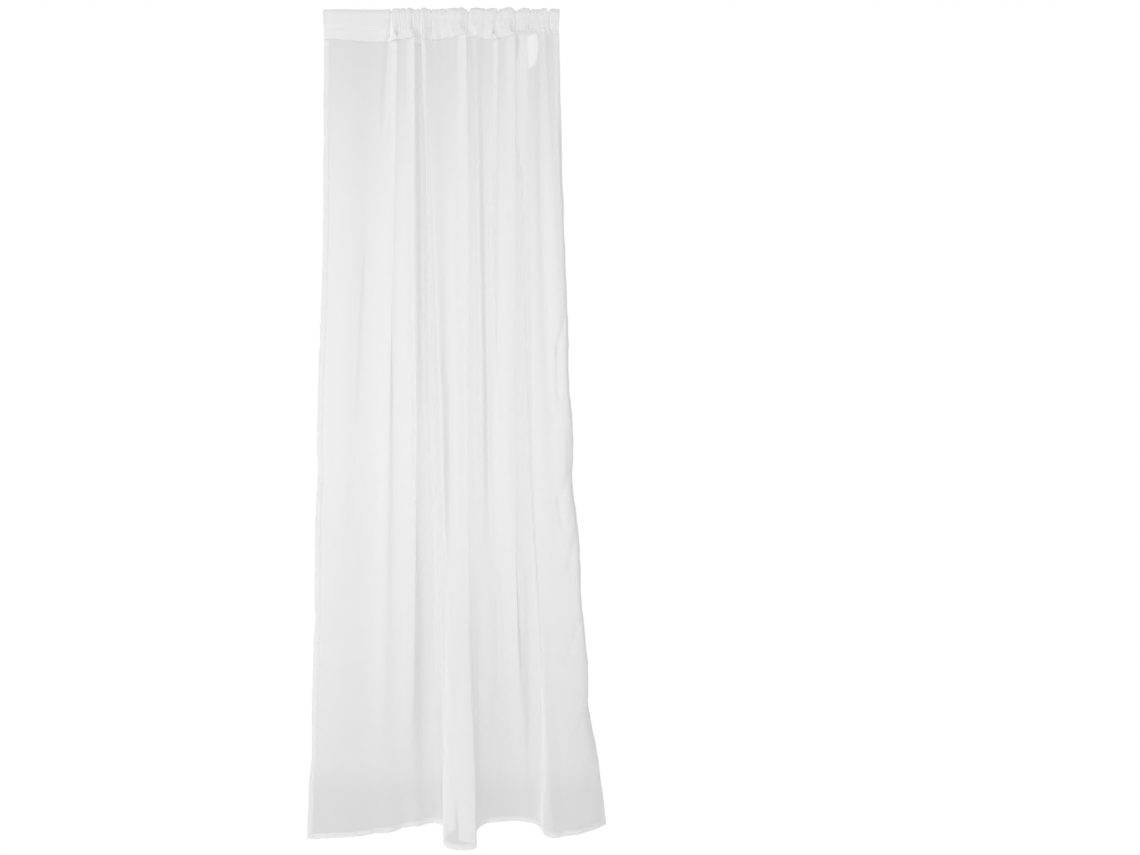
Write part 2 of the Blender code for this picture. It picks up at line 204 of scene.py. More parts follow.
def down_the_drop(values, z):
    """Values at the table's heights carried to any height z, with no overshoot: a monotone cubic."""
    level = -HEIGHTS
    t = np.clip(-z, level[0], level[-1])
    h = np.diff(level)
    slope = np.diff(values, axis=-1) / h
    lean = np.zeros_like(values)
    w1 = 2 * h[1:] + h[:-1]
    w2 = h[1:] + 2 * h[:-1]
    same_way = slope[..., :-1] * slope[..., 1:] > 0
    before = np.where(same_way, slope[..., :-1], 1.0)
    after = np.where(same_way, slope[..., 1:], 1.0)
    lean[..., 1:-1] = np.where(same_way, (w1 + w2) / (w1 / before + w2 / after), 0.0)
    lean[..., 0] = slope[..., 0]
    lean[..., -1] = slope[..., -1]
    j = np.clip(np.searchsorted(level, t, side="right") - 1, 0, len(level) - 2)
    s = (t - level[j]) / h[j]
    start = 2 * s**3 - 3 * s**2 + 1
    return (values[..., j] * start + values[..., j + 1] * (1 - start)
            + lean[..., j] * h[j] * (s**3 - 2 * s**2 + s) + lean[..., j + 1] * h[j] * (s**3 - s**2))


def ease(t):
    """Smooth rise from 0 to 1: three squares less two cubes."""
    t = np.clip(t, 0, 1)
    return t * t * (3 - 2 * t)


CHANCES = 4096


def uneven(x, pitch, seed):
    """A smooth chance curve between -1 and 1: values drawn one a pitch, joined by smooth rises."""
    drawn = np.random.default_rng(seed).uniform(-1, 1, CHANCES)
    place = x / pitch + CHANCES / 4
    cell = np.floor(place).astype(int)
    part = ease(place - cell)
    return drawn[cell % CHANCES] * (1 - part) + drawn[(cell + 1) % CHANCES] * part


def ripples(at, table):
    """The sum of a table's chance curves at given places: each row has height, pitch and seed."""
    return sum(high * MM * uneven(at, pitch * MM, seed) for high, pitch, seed in table)


def gathered(along):
    """How tightly the cloth is gathered: none over the flat part on the left, full after it."""
    return ease((along - GATHERS_BEGIN) / (GATHERS_FULL - GATHERS_BEGIN))


def seam_height(along):
    """Height of the pocket's seam at each distance along the cloth."""
    return np.interp(along, ALONG, SEAM)


def draped(along, z):
    """Middle of the cloth for arrays of distance along and height of equal shape.

    The table's plan at that height, plus the pulls of the side hems, plus the folds that lean
    aside, plus small puckers that fade below the seam, plus the soft creases, each a bell curve
    with a steep and a slow side, plus the ripples of the hems.
    """
    flat_along = np.clip(along, -1 * MM, WIDE + 1 * MM)
    weights = fold_weights(flat_along[:, 0])
    heights = z[0]
    across = weights @ down_the_drop(PLAN[..., 0], heights)
    back = weights @ down_the_drop(PLAN[..., 1], heights)
    for side, height, half, pull_across, pull_back in PULLS:
        from_edge = along if side == "left" else WIDE - along
        near = np.exp(-(from_edge / SIDE_PULL_REACH)**2) * np.exp(-((z - height * MM) / (half * MM))**2)
        across = across + pull_across * MM * near
        back = back + pull_back * MM * near
    for name, place, half, aside, begins, full, ends, ended in LEANS:
        comes = ease((begins * MM - z) / ((begins - full) * MM))
        share = comes * ease((z - ended * MM) / ((ends - ended) * MM))
        across = across + aside * MM * share * np.exp(-((along - place * MM) / (half * MM))**2)
    below = np.maximum(-z + SEAM_LEVEL, 0)
    fine = sum(part * uneven(along, pitch * MM, seed) * np.exp(-below / (reach * MM))
               for pitch, reach, part, seed in PUCKERS)
    back = back + PUCKER_HIGH * fine * gathered(along)
    for name, x0, z0, x1, z1, left_half, right_half, forward in CREASES:
        t = (z - z0 * MM) / ((z1 - z0) * MM)
        line = (x0 + (x1 - x0) * t) * MM
        off = across - line
        half = np.where(off < 0, left_half, right_half) * MM
        fade = ease(t / CREASE_ENDS) * ease((1 - t) / CREASE_ENDS)
        back = back - forward * MM * fade * np.exp(-(off / half)**2)
    edge = np.minimum(along, WIDE - along)
    near_side = np.exp(-(np.maximum(edge, 0) / SIDE_RIPPLE_REACH)**2)
    back = back + near_side * ripples(z, SIDE_RIPPLES_BACK)
    across = across + near_side * ripples(z, SIDE_RIPPLES_ACROSS)
    near_foot = np.exp(-(np.maximum(z + DROP, 0) / FOOT_RIPPLE_REACH)**2)
    back = back + near_foot * ripples(along, FOOT_RIPPLES_BACK)
    up = z + near_foot * ripples(along, FOOT_RIPPLES_UP)
    return np.stack([across, back, up], -1)


def turned(width, lip, step):
    """Rows of a double turn: where the cloth lies, the layer behind, the flat distance past the edge."""
    outer = np.arange(step, width, step)
    outer = np.concatenate([[0.25 * MM], outer, [width - 0.3 * MM]])
    inner = np.arange(step, lip + step / 2, step)
    place = np.concatenate([[-0.2 * MM], outer, [width], width - inner])
    layer = np.concatenate([[0.5], np.full(len(outer), 1.0), [0.75], np.full(len(inner), 0.5)])
    flat = np.concatenate([[0.1 * MM], outer, [width], width + inner])
    return place, layer * 2 * HEM_LAYER, flat


FLAT_PART = 150 * MM


def column_places(count_left, count_right):
    """Distances along the cloth: wider apart on the flat left, closer in the gathers."""
    left_part = np.linspace(0, FLAT_PART, count_left, endpoint=False)
    return np.concatenate([left_part, np.linspace(FLAT_PART, WIDE, count_right)])


def grid_mesh(name, points, flat_u, flat_v):
    """A mesh of four-sided faces from a grid of points, each with its place on the flat cloth."""
    cols, rows = points.shape[:2]
    mesh = bpy.data.meshes.new(name)
    index = np.arange(cols * rows).reshape(cols, rows)
    quads = np.stack([index[:-1, :-1], index[:-1, 1:], index[1:, 1:], index[1:, :-1]], -1)
    mesh.from_pydata(points.reshape(-1, 3).tolist(), [], quads.reshape(-1, 4).tolist())
    mesh.shade_smooth()
    place = mesh.attributes.new("flat place", "FLOAT_VECTOR", "POINT")
    flat = np.stack([flat_u, flat_v, np.zeros_like(flat_u)], -1).reshape(-1, 3)
    place.data.foreach_set("vector", flat.astype(np.float32).ravel())
    uv = mesh.uv_layers.new(name="cloth")
    corner = np.empty(len(mesh.loops), dtype=np.int32)
    mesh.loops.foreach_get("vertex_index", corner)
    span = flat.max(0) - flat.min(0)
    unit = (flat - flat.min(0))[:, :2] / span[:2].max()
    uv.data.foreach_set("uv", unit[corner].astype(np.float32).ravel())
    thing = bpy.data.objects.new(name, mesh)
    bpy.context.scene.collection.objects.link(thing)
    return thing


def maths(nodes, links, operation, first, second=None):
    """A maths node fed with numbers or sockets; gives its output socket."""
    node = nodes.new("ShaderNodeMath")
    node.operation = operation
    for place, value in enumerate((first, second)):
        if isinstance(value, (int, float)):
            node.inputs[place].default_value = value
        elif value is not None:
            links.new(value, node.inputs[place])
    return node.outputs[0]


def weave_group():
    """Node group of the plain weave: thread cover and relief from the flat place of the cloth.

    Two sets of even waves, one a thread's pitch across and one down, and long thin noise
    along each for the thicker threads.
    """
    group = bpy.data.node_groups.new("plain weave", "ShaderNodeTree")
    pitch = group.interface.new_socket("Thread Pitch", in_out="INPUT", socket_type="NodeSocketFloat")
    pitch.default_value = 0.0009
    slub = group.interface.new_socket("Slub", in_out="INPUT", socket_type="NodeSocketFloat")
    slub.default_value = 0.06
    group.interface.new_socket("Threads", in_out="OUTPUT", socket_type="NodeSocketFloat")
    group.interface.new_socket("Unevenness", in_out="OUTPUT", socket_type="NodeSocketFloat")
    nodes, links = group.nodes, group.links
    inputs = nodes.new("NodeGroupInput")
    outputs = nodes.new("NodeGroupOutput")
    place = nodes.new("ShaderNodeAttribute")
    place.attribute_name = "flat place"
    split = nodes.new("ShaderNodeSeparateXYZ")
    links.new(place.outputs["Vector"], split.inputs[0])
    waves = []
    for axis in (0, 1):
        turns = maths(nodes, links, "DIVIDE", split.outputs[axis], inputs.outputs["Thread Pitch"])
        angle = maths(nodes, links, "MULTIPLY", turns, 2 * math.pi)
        waves.append(maths(nodes, links, "SINE", angle))
    links.new(maths(nodes, links, "MAXIMUM", *waves), outputs.inputs["Threads"])
    parts = []
    for stretch in ((900.0, 14.0, 1.0), (14.0, 900.0, 1.0), (26.0, 26.0, 1.0)):
        mapping = nodes.new("ShaderNodeMapping")
        mapping.inputs["Scale"].default_value = stretch
        links.new(place.outputs["Vector"], mapping.inputs["Vector"])
        noise = nodes.new("ShaderNodeTexNoise")
        noise.inputs["Scale"].default_value = 1.0
        noise.inputs["Detail"].default_value = 2.0
        links.new(mapping.outputs[0], noise.inputs["Vector"])
        parts.append(noise.outputs[0])
    total = maths(nodes, links, "ADD", maths(nodes, links, "ADD", parts[0], parts[1]), parts[2])
    centred = maths(nodes, links, "SUBTRACT", total, 1.5)
    sized = maths(nodes, links, "MULTIPLY", centred, inputs.outputs["Slub"])
    links.new(sized, outputs.inputs["Unevenness"])
    return group


def scatter_group():
    """Node group of the light's spread in thread: the surface's normal leaned to the cloth's face.

    Normal + lean * (0, three times its y kept between -1 and 1, 0), made one long.
    """
    group = bpy.data.node_groups.new("thread scatter", "ShaderNodeTree")
    lean = group.interface.new_socket("Lean", in_out="INPUT", socket_type="NodeSocketFloat")
    lean.default_value = 0.6
    group.interface.new_socket("Normal", in_out="OUTPUT", socket_type="NodeSocketVector")
    nodes, links = group.nodes, group.links
    inputs = nodes.new("NodeGroupInput")
    outputs = nodes.new("NodeGroupOutput")
    surface = nodes.new("ShaderNodeNewGeometry")
    parts = nodes.new("ShaderNodeSeparateXYZ")
    links.new(surface.outputs["Normal"], parts.inputs[0])
    side = nodes.new("ShaderNodeMapRange")
    side.inputs["From Min"].default_value = -1 / 3
    side.inputs["From Max"].default_value = 1 / 3
    side.inputs["To Min"].default_value = -1
    side.inputs["To Max"].default_value = 1
    links.new(parts.outputs["Y"], side.inputs["Value"])
    amount = maths(nodes, links, "MULTIPLY", side.outputs["Result"], inputs.outputs["Lean"])
    toward = nodes.new("ShaderNodeCombineXYZ")
    links.new(amount, toward.inputs["Y"])
    total = nodes.new("ShaderNodeVectorMath")
    total.operation = "ADD"
    links.new(surface.outputs["Normal"], total.inputs[0])
    links.new(toward.outputs[0], total.inputs[1])
    unit = nodes.new("ShaderNodeVectorMath")
    unit.operation = "NORMALIZE"
    links.new(total.outputs[0], unit.inputs[0])
    links.new(unit.outputs[0], outputs.inputs["Normal"])
    return group


WEAVE = weave_group()
SCATTER = scatter_group()

# Painted light: an even glow given to the cloth as emission, standing in for light scattered on through
# the threads
PAINTED_THREAD_GLOW = 0.06
LEAST_COVER = 0.05
MOST_COVER = 0.97
# The cloth gets no denser than at this cosine of its slant
LEAST_COSINE = 0.24


def sheer_cloth(name, colour, cover, thread_share, slub, lean):
    """Voile whose threads cover a share of it, so that slanted cloth shows more thread.

    Opacity is one less the bare share, raised to one over the cosine of the slant.
    """
    material = bpy.data.materials.new(name)
    material.use_nodes = True
    nodes, links = material.node_tree.nodes, material.node_tree.links
    shader = nodes["Principled BSDF"]
    shader.inputs["Base Color"].default_value = (*colour, 1.0)
    shader.inputs["Roughness"].default_value = 0.9
    shader.inputs["Specular IOR Level"].default_value = 0.25
    shader.inputs["Sheen Weight"].default_value = 0.15
    shader.inputs["Sheen Roughness"].default_value = 0.5
    # The cloth's emission is painted light, an even glow for the light scattered on through the threads
    shader.inputs["Emission Color"].default_value = (1.0, 1.0, 1.0, 1.0)
    shader.inputs["Emission Strength"].default_value = PAINTED_THREAD_GLOW
    weave = nodes.new("ShaderNodeGroup")
    weave.node_tree = WEAVE
    weave.inputs["Slub"].default_value = slub

    threads = maths(nodes, links, "MULTIPLY", weave.outputs["Threads"], thread_share)
    drawn = maths(nodes, links, "ADD", threads, weave.outputs["Unevenness"])
    covered = maths(nodes, links, "ADD", drawn, cover)
    covered = maths(nodes, links, "MAXIMUM", covered, LEAST_COVER)
    covered = maths(nodes, links, "MINIMUM", covered, MOST_COVER)
    bare = maths(nodes, links, "SUBTRACT", 1.0, covered)
    slant = nodes.new("ShaderNodeLayerWeight")
    slant.inputs["Blend"].default_value = 0.5
    cosine = maths(nodes, links, "SUBTRACT", 1.0, slant.outputs["Facing"])
    cosine = maths(nodes, links, "MAXIMUM", cosine, LEAST_COSINE)
    seen_bare = maths(nodes, links, "POWER", bare, maths(nodes, links, "DIVIDE", 1.0, cosine))
    links.new(maths(nodes, links, "SUBTRACT", 1.0, seen_bare), shader.inputs["Alpha"])
    bump = nodes.new("ShaderNodeBump")
    bump.inputs["Strength"].default_value = 0.25
    bump.inputs["Distance"].default_value = 0.0002
    links.new(weave.outputs["Threads"], bump.inputs["Height"])
    spread = nodes.new("ShaderNodeGroup")
    spread.node_tree = SCATTER
    spread.inputs["Lean"].default_value = lean
    links.new(spread.outputs["Normal"], bump.inputs["Normal"])
    links.new(bump.outputs["Normal"], shader.inputs["Normal"])
    return material


VOILE = sheer_cloth("white voile", colour=(0.92, 0.92, 0.92), cover=0.50, thread_share=0.03,
                    slub=0.02, lean=0.7)

PANEL_COLUMNS = (44, 420)
PANEL_ROWS = 178
# The rows are closer at the top: this share of their spread is even, the rest is squared
EVEN_SHARE = 0.75
# The seam's unevenness dies out down the drop with this power of the height over the foot
SEAM_POWER = 6
# Half the distance over which the cloth's direction is taken, and how far in from the edges
SLOPE_STEP = 0.3 * MM
SLOPE_INSET = 0.4 * MM
FOOT_LAYERS = 1.2

places = column_places(*PANEL_COLUMNS)
hem_place, hem_layer, hem_flat = turned(HEM_WIDTH, HEM_LIP, 3 * MM)
along = np.concatenate([hem_place[::-1], places, WIDE - hem_place])
along_layer = np.concatenate([hem_layer[::-1], np.zeros(len(places)), hem_layer])
along_flat = np.concatenate([-hem_flat[::-1], places, WIDE + hem_flat])
drops = np.linspace(0, 1, PANEL_ROWS)
down = SEAM_LEVEL + (-DROP - SEAM_LEVEL) * (EVEN_SHARE * drops + (1 - EVEN_SHARE) * drops**2)
height = np.concatenate([down, -DROP + hem_place])
height_layer = np.concatenate([np.zeros(len(down)), hem_layer])
height_flat = np.concatenate([down, -DROP - hem_flat])
grid_along, grid_height = np.meshgrid(along, height, indexing="ij")
spots = draped(grid_along, grid_height)
rise = (seam_height(along) - SEAM_LEVEL)[:, None]
spots[..., 2] += rise * np.clip((grid_height + DROP) / (SEAM_LEVEL + DROP), 0, 1)**SEAM_POWER
flat_u, flat_v = np.meshgrid(along_flat, height_flat, indexing="ij")
inset = np.clip(grid_along, SLOPE_INSET, WIDE - SLOPE_INSET)
slope = draped(inset + SLOPE_STEP, grid_height) - draped(inset - SLOPE_STEP, grid_height)
outward = np.stack([-slope[..., 1], slope[..., 0], np.zeros(slope.shape[:2])], -1)
outward /= np.linalg.norm(outward, axis=-1, keepdims=True)
spots += outward * (along_layer[:, None] + FOOT_LAYERS * height_layer[None, :])[..., None]
panel = grid_mesh("voile_panel", spots, flat_u, flat_v)
panel.data.materials.append(VOILE)
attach(panel, "root")
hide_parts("panel")

# The rod pocket: the panel's own top, folded back over itself, its raw edge turned in
# deep, and all its layers sewn through along one seam. It is empty and open at both ends,
# gathered along the right two thirds, and stands off the straight space for the rod.

ROD_ROUND = 12.5 * MM
ROD_MIDDLE = -13.1 * MM
POCKET_MEET = -47 * MM
POCKET_LAYER = 0.5 * MM
POCKET_LIP = 44 * MM
POCKET_COLUMNS = (40, 620)
LIP_ROWS = 11
# How far the lip lies from the rod's middle, as a share of the round, and its side of the cloth
LIP_ROUND = 0.93
LIP_SIDE = 0.45
# How much of the rod's puff the layers under the round and the lip take part in
UNDER_PUFF = 0.6
LIP_PUFF = 0.3
TOP_PUCKERS = ((0.9, 7, 21), (0.9, 16, 22))
PUFF_PUCKER = 1.1
RUFFLE_HIGH = 1.5 * MM
RUFFLE_PITCH = 9 * MM

# Gathers in the pocket: across at the top edge, across at the seam, half width,
# how deep, and how much of the pocket's height they reach down
GATHERS = (
    ("left end", -122, -129, 2.4, 7.0, 1.0),
    ("after ridge 1", -100, -96, 1.6, 3.2, 0.55),
    ("short 1", -86, -83, 1.6, 2.6, 0.45),
    ("gap left side", -63, -61, 1.4, 3.0, 0.8),
    ("gap middle", -52, -50, 1.6, 3.0, 0.75),
    ("gap right side", -26, -22, 1.6, 3.6, 0.7),
    ("pipe left side", 12, 15, 1.6, 1.8, 0.4),
    ("pipe right side", 66, 63, 2.2, 6.0, 1.0),
    ("slanted 1", 107, 98, 1.8, 1.8, 0.9),
    ("slanted 2", 137, 121, 2.2, 6.0, 1.0),
    ("after ridge 6", 146, 149, 1.4, 1.6, 0.7),
    ("beside ridge 7", 181, 181, 1.8, 5.0, 1.0),
    ("over the label", 216, 212, 1.5, 3.0, 0.8),
    ("swoop", 228, 256, 1.6, 2.6, 0.75),
    ("right end", 258, 271, 2.2, 6.0, 1.0),
)


def pocket_path():
    """The pocket's section from the front of the seam, over the rod's space, to the back of the seam.

    Straight up to where the layers part, two straight lines that touch the rod's round, and
    the arc between them. Gives depth, height, share of the puff, side (-1 for the front layer,
    1 for the back one) and flat distance.
    """
    lean = math.asin(ROD_ROUND / (ROD_MIDDLE - POCKET_MEET))
    touch_z = ROD_MIDDLE - ROD_ROUND * math.sin(lean)
    touch_y = ROD_ROUND * math.cos(lean)
    low = np.linspace(SEAM_LEVEL, POCKET_MEET, 9, endpoint=False)
    part = np.linspace(0, 1, 9, endpoint=False)
    angle = np.linspace(-lean, math.pi + lean, 29)
    still = np.zeros(len(low))
    rise = POCKET_MEET + (touch_z - POCKET_MEET) * part
    depth = np.concatenate([still, -touch_y * part, -ROD_ROUND * np.cos(angle),
                            touch_y * part[::-1], still])
    z = np.concatenate([low, rise, ROD_MIDDLE + ROD_ROUND * np.sin(angle), rise[::-1], low[::-1]])
    puffs = UNDER_PUFF * part**2
    share = np.concatenate([still, puffs, np.ones(len(angle)), puffs[::-1], still])
    front = np.full(len(low) + len(part), -1.0)
    side = np.concatenate([front, np.clip(-np.cos(angle) * 3, -1, 1), -front])
    run = np.concatenate([[0], np.cumsum(np.hypot(np.diff(depth), np.diff(z)))])
    return depth, z, share, side, run


def pocket_points(along, depth, z, share, side):
    """Points of the pocket's cloth: the plan of the seam below, the round of the rod above.

    Going up, the places across ease from the folds' to the rod's and the folds' depth eases
    out. The puffs stand out from the rod's middle, less a bell curve for each gather. The back
    layer takes a sine wave as its ruffle, and the layers are kept apart along their normal.
    """
    weights = fold_weights(np.clip(along, 0, WIDE))
    seam_plan = draped(along[:, None], np.full((len(along), 1), SEAM_LEVEL))[:, 0, :2]
    rod_x = weights @ ROD_ACROSS
    puff = np.maximum(weights @ PUFF, 0)[:, None] * share[None, :]
    pull = gathered(along)[:, None]
    upper = ripples(along, TOP_PUCKERS)[:, None]
    spread = ease((z - SEAM_LEVEL) / (POCKET_MEET - SEAM_LEVEL))[None, :]
    calm = ease((z - SEAM_LEVEL) / (ROD_MIDDLE - SEAM_LEVEL))[None, :]
    across = seam_plan[:, :1] * (1 - spread) + rod_x[:, None] * spread
    size = np.maximum(np.hypot(depth, z - ROD_MIDDLE), 1e-6)[None, :]
    puff = puff + PUFF_PUCKER * pull * upper * share[None, :]
    behind = np.clip(side, 0, 1)[None, :] * ease((z - SEAM_LEVEL) / (20 * MM))[None, :]
    ruffle = RUFFLE_HIGH * pull * behind * np.sin(along / RUFFLE_PITCH * 2 * math.pi)[:, None]
    fall = np.clip(z / SEAM_LEVEL, 0, 1)[None, :]
    pressed = 0
    for name, top, foot, half, deep, reach in GATHERS:
        line = (top + (foot - top) * fall**1.3) * MM
        fade = 1 - ease((fall - reach + 0.15) / 0.3)
        crease = deep * MM * fade * np.exp(-((across - line) / (half * MM))**2)
        puff = puff - crease * share[None, :] * (side < 0.9)[None, :]
        over_seam = ease((z - SEAM_LEVEL) / (22 * MM))
        pressed = pressed + crease * ((1 - share) * over_seam)[None, :]
    back = seam_plan[:, 1:] * (1 - calm) + depth[None, :] + puff * depth[None, :] / size
    back = back + ruffle + pressed
    low = np.clip((POCKET_MEET - z) / (POCKET_MEET - SEAM_LEVEL), 0, 1)[None, :]
    seam_rise = (seam_height(along) - SEAM_LEVEL)[:, None] * low
    up = z[None, :] + seam_rise + puff * (z - ROD_MIDDLE)[None, :] / size
    points = np.stack([across, back, up], -1)
    run = np.gradient(points, axis=0)
    outward = np.stack([-run[..., 1], run[..., 0], np.zeros(run.shape[:2])], -1)
    outward /= np.maximum(np.linalg.norm(outward, axis=-1, keepdims=True), 1e-9)
    apart = (0.4 + 0.6 * ease((z - SEAM_LEVEL) / (12 * MM))) * (1 - ease((z - POCKET_MEET) / (10 * MM)))
    return points + outward * (side * apart * POCKET_LAYER)[None, :, None]


depth, z_path, share, side, run = pocket_path()
lip_rise = np.linspace(0, POCKET_LIP, LIP_ROWS + 1)[1:]
lip_z = SEAM_LEVEL + lip_rise
lip_lean = np.clip((lip_z - POCKET_MEET) / (ROD_MIDDLE - POCKET_MEET), 0, 1)
depth = np.concatenate([depth, lip_lean * ROD_ROUND * LIP_ROUND])
z_path = np.concatenate([z_path, lip_z])
share = np.concatenate([share, LIP_PUFF * lip_lean**2])
side = np.concatenate([side, np.full(LIP_ROWS, LIP_SIDE)])
run = np.concatenate([run, run[-1] + lip_rise])
pocket_along = column_places(*POCKET_COLUMNS)
pocket_spots = pocket_points(pocket_along, depth, z_path, share, side)
pocket_u, pocket_v = np.meshgrid(pocket_along, SEAM_LEVEL + run, indexing="ij")
pocket = grid_mesh("rod_pocket", pocket_spots, pocket_u, pocket_v)
# The pocket is the panel's own voile, but its base colour, 0.93 against 0.92, is painted light that
# makes the heading look more brightly lit
POCKET_VOILE_PAINTED_BRIGHTER = sheer_cloth("white voile of the pocket", colour=(0.93, 0.93, 0.93), cover=0.45,
                           thread_share=0.03, slub=0.02, lean=0.35)
pocket.data.materials.append(POCKET_VOILE_PAINTED_BRIGHTER)
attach(pocket, "root")
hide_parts("heading")

# The label: a blank strip of close white satin tape, folded double, its top caught in the
# pocket's seam behind the cloth, so that it shows through the panel as a brighter oblong,
# made brighter still by a painted glow on the tape.

LABEL_WIDE = 27 * MM
LABEL_MIDDLE = 220.5 * MM
# Degrees: the lean of its middle line, then its twist at the top and at the foot
LABEL_TURN = 1.0
LABEL_TWIST = (-34, -58)
# Height and distance back of the strip's middle, top to foot, in millimetres
LABEL_PATH = ((-54, 13.4), (-70, 16.0), (-90, 15.9), (-110, 15.6), (-131, 15.5))
LABEL_LAYER = 0.35 * MM
LABEL_BEND = 0.6 * MM
# How far the back leaf slips aside from the front one
LABEL_SLIP = 5 * MM
LABEL_ROWS = 34
LABEL_COLUMNS = 12

path = np.array(LABEL_PATH) * MM
label_drop = path[0, 0] - path[-1, 0]
fall = np.linspace(path[0, 0], path[-1, 0] + LABEL_BEND, LABEL_ROWS)
stand = np.interp(-fall, -path[:, 0], path[:, 1])
fall = np.concatenate([fall, [path[-1, 0]], fall[::-1]])
stand = np.concatenate([stand - LABEL_LAYER, [path[-1, 1]], stand[::-1] + LABEL_LAYER])
label_u = np.linspace(-0.5, 0.5, LABEL_COLUMNS) * LABEL_WIDE
turn = math.tan(math.radians(LABEL_TURN))
hung = path[0, 0] - fall
twist = np.radians(LABEL_TWIST[0] + (LABEL_TWIST[1] - LABEL_TWIST[0]) * hung / label_drop)
label_x = LABEL_MIDDLE + label_u[:, None] * np.cos(twist)[None, :] + (hung * turn)[None, :]
back_leaf = np.clip((np.arange(len(fall)) - LABEL_ROWS) / LABEL_ROWS, 0, 1)
label_x = label_x + LABEL_SLIP * np.sin(math.pi * back_leaf)[None, :]
label_y = stand[None, :] + label_u[:, None] * np.sin(twist)[None, :]
label_z = fall[None, :] + 0 * label_u[:, None]
label_run = np.concatenate([[0], np.cumsum(np.hypot(np.diff(fall), np.diff(stand)))])
strip_u, strip_v = np.meshgrid(label_u, label_run, indexing="ij")
label = grid_mesh("label_strip", np.stack([label_x, label_y, label_z], -1), strip_u, strip_v)
tape = bpy.data.materials.new("white satin tape")
tape.use_nodes = True
tape_shader = tape.node_tree.nodes["Principled BSDF"]
tape_shader.inputs["Base Color"].default_value = (0.93, 0.93, 0.93, 1.0)
tape_shader.inputs["Roughness"].default_value = 0.55
# Painted light: the tape glows a little, with no lamp in it, so that it looks brighter through the cloth
tape_shader.inputs["Emission Color"].default_value = (1.0, 1.0, 1.0, 1.0)
tape_shader.inputs["Emission Strength"].default_value = 0.15
tape_weave = tape.node_tree.nodes.new("ShaderNodeGroup")
tape_weave.node_tree = WEAVE
tape_weave.inputs["Thread Pitch"].default_value = 0.0005
tape_bump = tape.node_tree.nodes.new("ShaderNodeBump")
tape_bump.inputs["Strength"].default_value = 0.2
tape_bump.inputs["Distance"].default_value = 0.0001
tape.node_tree.links.new(tape_weave.outputs["Threads"], tape_bump.inputs["Height"])
tape.node_tree.links.new(tape_bump.outputs["Normal"], tape_shader.inputs["Normal"])
label.data.materials.append(tape)
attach(label, "root")
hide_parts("label")

# The stitching: white polyester thread, one lockstitch row through the pocket just over its
# seam and one round the inner fold of each hem, seen on the front and the back.

STITCH = 2.6 * MM
STITCH_PITCH = 3.6 * MM
THREAD_ROUND = 0.24 * MM
# Rings of a stitch: place along it, size, and lift off the cloth in thread rounds
STITCH_RINGS = ((0.0, 0.35, 0.2), (0.5, 1.0, 0.8), (1.0, 0.35, 0.2))
# A row stops this far from the ends of the seam and of the side hems
ROW_END = 4 * MM
# The seam's stitches stand this far off the cloth's middle, in front and behind
SEAM_LIFTS = ((-1, 0.3 * MM), (1, 0.5 * MM))
# The hems' stitches: on the front face, and behind the turned layers
HEM_LIFTS = ((-1, 0.1 * MM), (1, 2 * HEM_LAYER + 0.1 * MM))
# Distance of a hem's row from its inner fold
FROM_FOLD = 1 * MM
SIDE_LONG = DROP + SEAM_LEVEL - 3 * MM
# How far along the cloth its direction at a stitch is taken
NEARBY = 0.4 * MM


def stitch_mesh(name, starts, ends, outward):
    """Short threads from starts to ends: three rings of four points each, thin at the ends."""
    way = ends - starts
    length = np.linalg.norm(way, axis=-1, keepdims=True)
    way = way / length
    side_way = np.cross(way, outward)
    side_way /= np.linalg.norm(side_way, axis=-1, keepdims=True)
    angles = np.array([45, 135, 225, 315]) * math.pi / 180
    rings = []
    aside = np.cos(angles)[None, :, None] * side_way[:, None, :]
    offsets = aside + np.sin(angles)[None, :, None] * outward[:, None, :]
    for t, size, lift in STITCH_RINGS:
        centre = starts + way * length * t + outward * THREAD_ROUND * lift
        rings.append(centre[:, None, :] + offsets * THREAD_ROUND * size)
    points = np.stack(rings, 1).reshape(-1, 3)
    base = (np.arange(len(starts)) * 12)[:, None, None]
    corner = np.arange(4)
    after = (corner + 1) % 4
    sides = [4 * ring + np.stack([corner, after, 4 + after, 4 + corner], -1) for ring in (0, 1)]
    caps = [np.array([[3, 2, 1, 0]]), np.array([[8, 9, 10, 11]])]
    faces = (base + np.concatenate(sides + caps)[None]).reshape(-1, 4)
    mesh = bpy.data.meshes.new(name)
    mesh.from_pydata(points.tolist(), [], faces.tolist())
    mesh.shade_smooth()
    thing = bpy.data.objects.new(name, mesh)
    bpy.context.scene.collection.objects.link(thing)
    return thing


def lying(points, nearby, face, lift):
    """Points moved onto one face of the cloth: the plan's normal at each, out by the lift."""
    run = nearby - points
    outward = np.stack([-run[:, 1], run[:, 0], np.zeros(len(run))], -1)
    outward /= np.linalg.norm(outward, axis=-1, keepdims=True)
    outward = outward * face
    return points + outward * lift, outward


def row_of_stitches(begin, finish, spot, face, lift):
    """Stitches at an even pitch between two distances; spot gives the cloth's point at each."""
    places = np.arange(begin, finish - STITCH, STITCH_PITCH)
    first, near_first = spot(places), spot(places, NEARBY)
    second = spot(places + STITCH)
    start, out_way = lying(first, near_first, face, lift)
    return start, second + out_way * lift, out_way


def seam_spot(places, aside=0.0):
    """A point just over the pocket's seam at each distance along the cloth."""
    z = np.full(1, SEAM_LEVEL + 2 * MM)
    return pocket_points(places + aside, np.zeros(1), z, np.zeros(1), np.zeros(1))[:, 0]


def side_spot(edge_place):
    """A function giving the cloth's points down one side hem, for distances from the seam."""
    def spot(places, aside=0.0):
        return draped(np.full((1, len(places)), edge_place + aside), SEAM_LEVEL - places[None, :])[0]
    return spot


def foot_spot(places, aside=0.0):
    """The cloth's points along the foot hem's inner fold."""
    height = np.full((len(places), 1), -DROP + HEM_WIDTH - FROM_FOLD)
    return draped((places + aside)[:, None], height)[:, 0]


